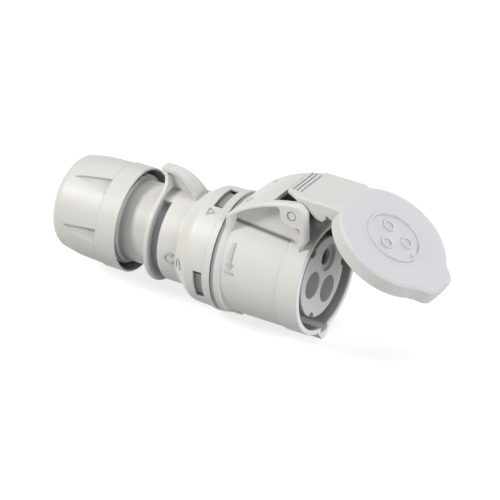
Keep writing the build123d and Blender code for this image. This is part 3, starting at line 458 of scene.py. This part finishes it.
def dress_nodes():
    """Every CAD node gets its slot's material."""
    slots = {row["node"]: row["material_slot"] for row in frame["record"]["subparts"]}
    for name, node in frame["nodes"].items():
        node.data.materials.clear()
        node.data.materials.append(MATERIALS[slots[name]])
        smooth(node.data, NODE_SHARP)


# Surfaces. Each is a function from (across, up, height) to a point in metres.

def on_lid(across, up, height):
    """The lid's outer face: across runs along -Y, up runs towards the hinge."""
    tilt = math.radians(LID_TILT)
    x = LID_CENTRE[0] - up * math.cos(tilt) + height * math.sin(tilt)
    z = LID_CENTRE[1] + up * math.sin(tilt) + height * math.cos(tilt)
    return Vector((x, -across, z)) * MM


def on_node(name, middle, across, up):
    """A CAD node's surface round a middle near it, found with rays that come in along up x across."""
    node = frame["nodes"][name]
    points = [node.matrix_world @ vertex.co for vertex in node.data.vertices]
    skin = BVHTree.FromPolygons(points, [tuple(face.vertices) for face in node.data.polygons])
    across, up = Vector(across).normalized(), Vector(up).normalized()
    out = across.cross(up)

    def place(sideways, upwards, height):
        start = Vector(middle) + across * sideways + up * upwards + out * CAST_HEIGHT
        return skin.ray_cast(start * MM, -out)[0] + out * height * MM
    return place


def on_side(name, radius, x_middle, clock):
    """on_node for a round body: across runs forwards along the axis, up runs to smaller clocks."""
    angle = math.radians(clock)
    middle = (x_middle, -radius * math.sin(angle), radius * math.cos(angle))
    return on_node(name, middle, (1, 0, 0), (0, math.cos(angle), math.sin(angle)))


def on_tube(radius, x_middle):
    """A cylinder round the axis, with the directions of on_side, from the top."""
    def place(across, up, height):
        angle = -up / radius
        reach = radius + height
        return Vector((x_middle + across, -reach * math.sin(angle), reach * math.cos(angle))) * MM
    return place


# Raised marks

def ridge(name, outline, place, owner, width, closed=False, height=MARK_HEIGHT):
    """A raised line with sloping sides along points (across, up), laid on a surface."""
    top = 0.5 - MARK_EDGE / width
    section = ((-0.5, -MARK_SINK), (-top, 1.0), (top, 1.0), (0.5, -MARK_SINK))
    mesh = bmesh.new()
    rows = []
    count = len(outline)
    for i, point in enumerate(outline):
        before = outline[(i - 1) % count] if closed or i else point
        after = outline[(i + 1) % count] if closed or i < count - 1 else point
        along = (Vector(after) - Vector(before)).normalized()
        side = Vector((-along.y, along.x))
        row = []
        for offset, rise in section:
            spot = Vector(point) + side * offset * width
            row.append(mesh.verts.new(place(spot.x, spot.y, rise * height)))
        rows.append(row)
    pairs = list(zip(rows, rows[1:])) + ([(rows[-1], rows[0])] if closed else [])
    for first, second in pairs:
        for k in range(len(section) - 1):
            mesh.faces.new((first[k], first[k + 1], second[k + 1], second[k]))
    if not closed:
        mesh.faces.new(rows[0])
        mesh.faces.new(rows[-1][::-1])
    add_mark(name, mesh, owner)


def plate(name, outline, place, owner, height=MARK_HEIGHT):
    """A raised flat shape with sloping sides, from its outline (across, up)."""
    mesh = bmesh.new()
    middle = sum((Vector(point) for point in outline), Vector((0, 0))) / len(outline)
    low = [mesh.verts.new(place(across, up, -MARK_SINK * height)) for across, up in outline]
    high = []
    for point in outline:
        spot = Vector(point)
        spot = spot + (middle - spot).normalized() * MARK_EDGE
        high.append(mesh.verts.new(place(spot.x, spot.y, height)))
    count = len(outline)
    for i in range(count):
        j = (i + 1) % count
        mesh.faces.new((low[i], low[j], high[j], high[i]))
    centre = mesh.verts.new(place(middle.x, middle.y, height))
    for i in range(count):
        mesh.faces.new((high[i], high[(i + 1) % count], centre))
    add_mark(name, mesh, owner)


def add_mark(name, mesh, owner):
    """The mesh as a piece on its owner's body, in its owner's slot."""
    body, slot = owner
    bmesh.ops.recalc_face_normals(mesh, faces=mesh.faces)
    data = bpy.data.meshes.new(name)
    mesh.to_mesh(data)
    mesh.free()
    piece = bpy.data.objects.new(name, data)
    bpy.context.scene.collection.objects.link(piece)
    data.materials.append(MATERIALS[f"{slot}_mark"])
    smooth(data, MARK_SHARP)
    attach(piece, body)


def arc(radius, start, end, steps, centre=(0.0, 0.0)):
    """Points on an arc, from the across direction."""
    points = []
    for i in range(steps + 1):
        angle = math.radians(start + (end - start) * i / steps)
        points.append((centre[0] + radius * math.cos(angle), centre[1] + radius * math.sin(angle)))
    return points


def circle(radius, steps, centre=(0.0, 0.0)):
    return arc(radius, 0, 360, steps, centre)[:-1]


def lid_marks():
    """A ring with the three poles and the keyway, the general sign for a three-pole socket."""
    ring_radius, pole_circle, pole_radius = 13.0, 6.3, 2.5
    ring = circle(ring_radius, 90)
    ridge("lid_ring", ring, on_lid, ON_LID, width=1.3, closed=True, height=LID_MARK_HEIGHT)
    for i, clock in enumerate(CONTACT_CLOCKS):
        angle = math.radians(90 - clock)
        pole = circle(pole_radius, 40, (pole_circle * math.cos(angle), pole_circle * math.sin(angle)))
        ridge(f"lid_pole_{i + 1}", pole, on_lid, ON_LID, width=1.2, closed=True, height=LID_MARK_HEIGHT)
    keyway = [(0, -ring_radius + 2.4), (0, -ring_radius + 0.4)]
    ridge("lid_keyway", keyway, on_lid, ON_LID, width=2.2, height=LID_MARK_HEIGHT)


def arrow(name, start, end, place, owner, width):
    """A straight arrow from start to end, as a shaft and a head."""
    head_length, head_side, steps = 2.6, 1.8, 14
    start, end = Vector(start), Vector(end)
    along = (end - start).normalized()
    side = Vector((-along.y, along.x)) * head_side
    neck = end - along * head_length
    shaft = [tuple(start + (neck - start) * i / steps) for i in range(steps + 1)]
    ridge(f"{name}_shaft", shaft, place, owner, width, height=ARROW_HEIGHT)
    head = [tuple(end), tuple(neck + side), tuple(neck - side)]
    plate(f"{name}_head", head, place, owner, height=ARROW_HEIGHT)


def shell_marks():
    """An arrow round the shell that shows which way the halves lock, with a bar at its end, and a small
    ring and a bar on the roof."""
    place = on_side("socket_shell", SHELL_R, x_middle=-33.6, clock=65.0)
    arrow("lock_arrow", (0, 6.0), (0, -6.4), place, ON_SHELL, ARROW_WIDTH)
    bar = [(-2.0, -7.8), (2.0, -7.8)]
    ridge("lock_bar", bar, place, ON_SHELL, ARROW_WIDTH, height=ARROW_HEIGHT)
    slope = math.radians(ROOF_SLOPE)
    forwards = (math.cos(slope), 0, math.sin(slope))
    place = on_node("socket_shell", middle=(-33.8, -7.4, 30.5), across=(0, -1, 0), up=forwards)
    ring = circle(1.6, 30)
    ridge("roof_ring", ring, place, ON_SHELL, ROOF_MARK_WIDTH, closed=True, height=ROOF_MARK_HEIGHT)
    place = on_node("socket_shell", middle=(-32.7, 13.0, 31.4), across=(0, -1, 0), up=forwards)
    ridge("roof_bar", [(-1.6, 0), (1.6, 0)], place, ON_SHELL, ROOF_MARK_WIDTH, height=ROOF_MARK_HEIGHT)


def rear_marks():
    """Two small signs on the rear body, a turning arrow and a closed lock, and a pointer on the collar."""
    place = on_side("rear_housing", BODY_R, x_middle=-66.6, clock=93.0)
    ridge("turn_arc", arc(2.2, 60, 330, 24), place, ON_REAR, width=0.75)
    plate("turn_head", [(0.2, 3.4), (0.4, 0.9), (2.5, 2.6)], place, ON_REAR)
    place = on_side("rear_housing", BODY_R, x_middle=-60.9, clock=93.0)
    case = [(-1.6, 0.2), (1.6, 0.2), (1.6, -2.4), (-1.6, -2.4)]
    ridge("lock_case", case, place, ON_REAR, width=0.7, closed=True)
    bow = [(-1.1, 0.3)] + arc(1.1, 180, 0, 12, centre=(0, 1.2)) + [(1.1, 0.3)]
    ridge("lock_bow", bow, place, ON_REAR, width=0.65)
    place = on_side("rear_housing", COLLAR_R, x_middle=-50.6, clock=30.0)
    pointer = [(-1.5, 1.8), (1.6, 0.0), (-1.5, -1.8)]
    ridge("collar_pointer", pointer, place, ON_REAR, width=0.6, closed=True)


def neck_thread():
    """The thread's turns on the neck, where they show in the nut's mouth."""
    length = THREAD_TO - THREAD_FROM
    turned = 2 * math.pi * THREAD_R * -length / THREAD_PITCH
    steps = 160
    helix = [(length * i / steps, turned * i / steps) for i in range(steps + 1)]
    place = on_tube(THREAD_R, THREAD_FROM)
    ridge("neck_thread", helix, place, ON_REAR, THREAD_WIDTH, height=THREAD_HEIGHT)


# Stage

def stage_material(name):
    """A white surface that the camera sees nearly white, and that keeps soft shadows."""
    material = bpy.data.materials.new(name)
    material.use_nodes = True
    tree = material.node_tree
    tree.nodes.remove(tree.nodes["Principled BSDF"])
    matt = tree.nodes.new("ShaderNodeBsdfDiffuse")
    matt.inputs["Color"].default_value = (FLOOR_LIT, FLOOR_LIT, FLOOR_LIT, 1)
    path = tree.nodes.new("ShaderNodeLightPath")
    seen, mirrored, through = (Number(tree, path.outputs[f"Is {ray} Ray"])
                               for ray in ("Camera", "Glossy", "Transmission"))
    strength = seen.most(mirrored).most(through) * FLOOR_GLOW
    glow = tree.nodes.new("ShaderNodeEmission")
    tree.links.new(strength.socket, glow.inputs["Strength"])
    both = tree.nodes.new("ShaderNodeAddShader")
    tree.links.new(matt.outputs[0], both.inputs[0])
    tree.links.new(glow.outputs[0], both.inputs[1])
    tree.links.new(both.outputs[0], tree.nodes["Material Output"].inputs["Surface"])
    return material


def make_floor():
    mesh = bmesh.new()
    bmesh.ops.create_grid(mesh, x_segments=1, y_segments=1, size=FLOOR_HALF)
    data = bpy.data.meshes.new("floor")
    mesh.to_mesh(data)
    mesh.free()
    floor = bpy.data.objects.new("floor", data)
    floor.location.z = floor_z
    data.materials.append(stage_material("white_floor"))
    bpy.context.scene.collection.objects.link(floor)


def make_camera():
    look = CAMERA_RIGHT.cross(CAMERA_UP).normalized()
    right, up, near = VIEW_MIDDLE
    target = CAMERA_RIGHT * right + CAMERA_UP * up + look * near
    data = bpy.data.cameras.new("camera")
    data.sensor_width = SENSOR_WIDTH
    data.lens = SENSOR_WIDTH * CAMERA_DISTANCE / VIEW_WIDTH
    data.clip_start, data.clip_end = CLIP_METRES
    camera = bpy.data.objects.new("camera", data)
    turn = Matrix((CAMERA_RIGHT, CAMERA_UP, look)).transposed().to_4x4()
    camera.matrix_world = Matrix.Translation((target + look * CAMERA_DISTANCE) * MM) @ turn
    bpy.context.scene.collection.objects.link(camera)
    bpy.context.scene.camera = camera


def make_lights():
    for name, spot, size, power, colour in LIGHTS:
        data = bpy.data.lights.new(name, "AREA")
        data.shape = "DISK"
        data.size = size
        data.energy = power
        data.color = colour
        light = bpy.data.objects.new(name, data)
        light.location = spot
        light.rotation_mode = "QUATERNION"
        light.rotation_quaternion = (Vector(LIGHT_TARGET) - Vector(spot)).to_track_quat("-Z", "Y")
        bpy.context.scene.collection.objects.link(light)
    world = bpy.data.worlds.new("studio")
    world.use_nodes = True
    background = world.node_tree.nodes["Background"]
    background.inputs["Color"].default_value = (*WORLD_COLOUR, 1)
    background.inputs["Strength"].default_value = WORLD_STRENGTH
    bpy.context.scene.world = world


bpy.context.view_layer.update()
dress_nodes()
lid_marks()
shell_marks()
rear_marks()
neck_thread()
make_floor()
make_camera()
make_lights()
bpy.context.scene.view_settings.view_transform = "Standard"
